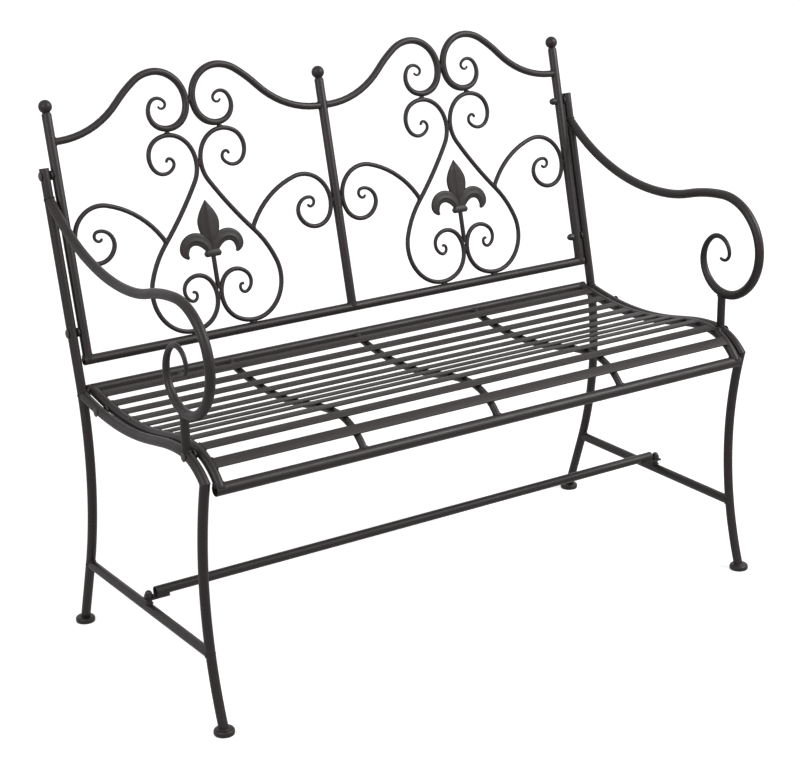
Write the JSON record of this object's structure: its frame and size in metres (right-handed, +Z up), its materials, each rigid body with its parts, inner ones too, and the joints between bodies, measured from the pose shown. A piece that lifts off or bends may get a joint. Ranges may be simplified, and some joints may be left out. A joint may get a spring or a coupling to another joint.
{
  "type": "garden bench",
  "caption": "Steel garden bench with a scrollwork back of hearts and fleurs-de-lis, scrolled armrests and a dished seat of flat slats, bolted together from side frames and panels.",
  "frame": {"origin": "on the floor under the middle of the bench's footprint box", "axes": "+X along the bench towards its right end as seen from the front, +Y from the front towards the back, +Z up"},
  "size_m": [1.0828, 0.573, 0.9145],
  "materials": {
    "coated_steel": "dark brown-black powder coat, satin",
    "bolt_steel": "black-coated domed nuts and low bolt heads, satin"
  },
  "bodies": {
    "root": {"rear_leg_left": "coated_steel", "rear_leg_right": "coated_steel", "front_leg_left": "coated_steel", "front_leg_right": "coated_steel", "seat_side_rail_left": "coated_steel", "seat_side_rail_right": "coated_steel", "lower_side_rail_left": "coated_steel", "lower_side_rail_right": "coated_steel", "armrest_left": "coated_steel", "armrest_right": "coated_steel", "armrest_post_left": "coated_steel", "armrest_post_right": "coated_steel", "back_bottom_rail": "coated_steel", "back_post_left": "coated_steel", "back_post_middle": "coated_steel", "back_post_right": "coated_steel", "fleur_de_lis_left": "coated_steel", "fleur_de_lis_right": "coated_steel", "crest_scroll_1": "coated_steel", "crest_scroll_2": "coated_steel", "crest_scroll_3": "coated_steel", "crest_scroll_4": "coated_steel", "heart_scroll_1": "coated_steel", "heart_scroll_2": "coated_steel", "heart_scroll_3": "coated_steel", "heart_scroll_4": "coated_steel", "side_scroll_1": "coated_steel", "side_scroll_2": "coated_steel", "side_scroll_3": "coated_steel", "side_scroll_4": "coated_steel", "seat_front_rail": "coated_steel", "seat_back_rail": "coated_steel", "seat_end_bar_left": "coated_steel", "seat_end_bar_right": "coated_steel", "seat_rib_left": "coated_steel", "seat_rib_middle": "coated_steel", "seat_rib_right": "coated_steel", "seat_slat_01": "coated_steel", "seat_slat_02": "coated_steel", "seat_slat_03": "coated_steel", "seat_slat_04": "coated_steel", "seat_slat_05": "coated_steel", "seat_slat_06": "coated_steel", "seat_slat_07": "coated_steel", "seat_slat_08": "coated_steel", "seat_slat_09": "coated_steel", "seat_slat_10": "coated_steel", "seat_slat_11": "coated_steel", "stretcher": "coated_steel", "stretcher_bolt_left": "bolt_steel", "stretcher_bolt_right": "bolt_steel", "back_bolt_lower_left": "bolt_steel", "back_bolt_lower_right": "bolt_steel", "back_bolt_upper_left": "bolt_steel", "back_bolt_upper_right": "bolt_steel", "seat_bolt_front_left": "bolt_steel", "seat_bolt_front_right": "bolt_steel", "seat_bolt_rear_left": "bolt_steel", "seat_bolt_rear_right": "bolt_steel"}
  },
  "joints": []
}
